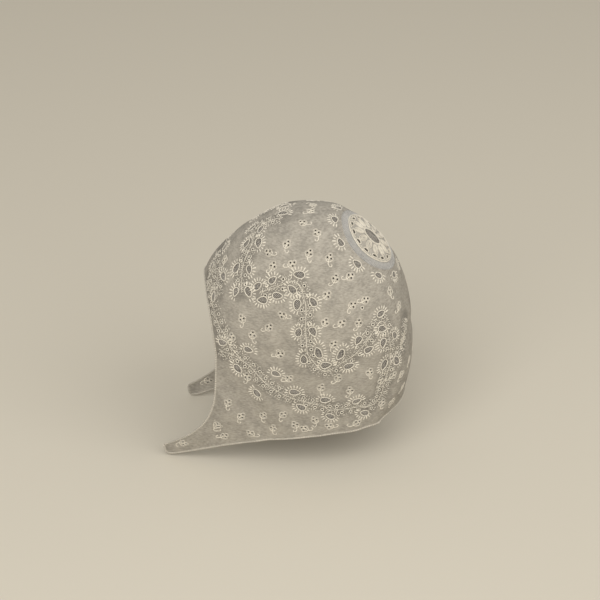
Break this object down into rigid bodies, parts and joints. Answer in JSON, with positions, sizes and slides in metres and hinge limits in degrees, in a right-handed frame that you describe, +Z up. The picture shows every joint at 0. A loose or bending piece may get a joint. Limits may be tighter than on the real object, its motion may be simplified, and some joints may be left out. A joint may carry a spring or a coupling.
{
  "type": "nightcap",
  "caption": "Close muslin nightcap with an open face, pointed cheek lappets, pierced leaf vines, and a round medallion set in net at the back of the crown.",
  "frame": {"origin": "inside of the crown's highest place, on the mid-plane, where the cap sits on the head", "axes": "+X the wearer's left, -Y the way the face looks, +Z up"},
  "size_m": [0.1596, 0.2471, 0.2631],
  "materials": {
    "muslin": "thin plain-woven cotton muslin, matt, with whitework thread",
    "net": "fine sheer cotton net, matt",
    "whitework": "close buttonhole and satin stitch in soft cotton",
    "hem": "muslin rolled to a narrow whipped hem"
  },
  "bodies": {
    "root": {"headpiece": "muslin", "net_insertion": "net", "crown_medallion": "whitework", "front_hem": "hem", "neck_hem": "hem"}
  },
  "joints": []
}
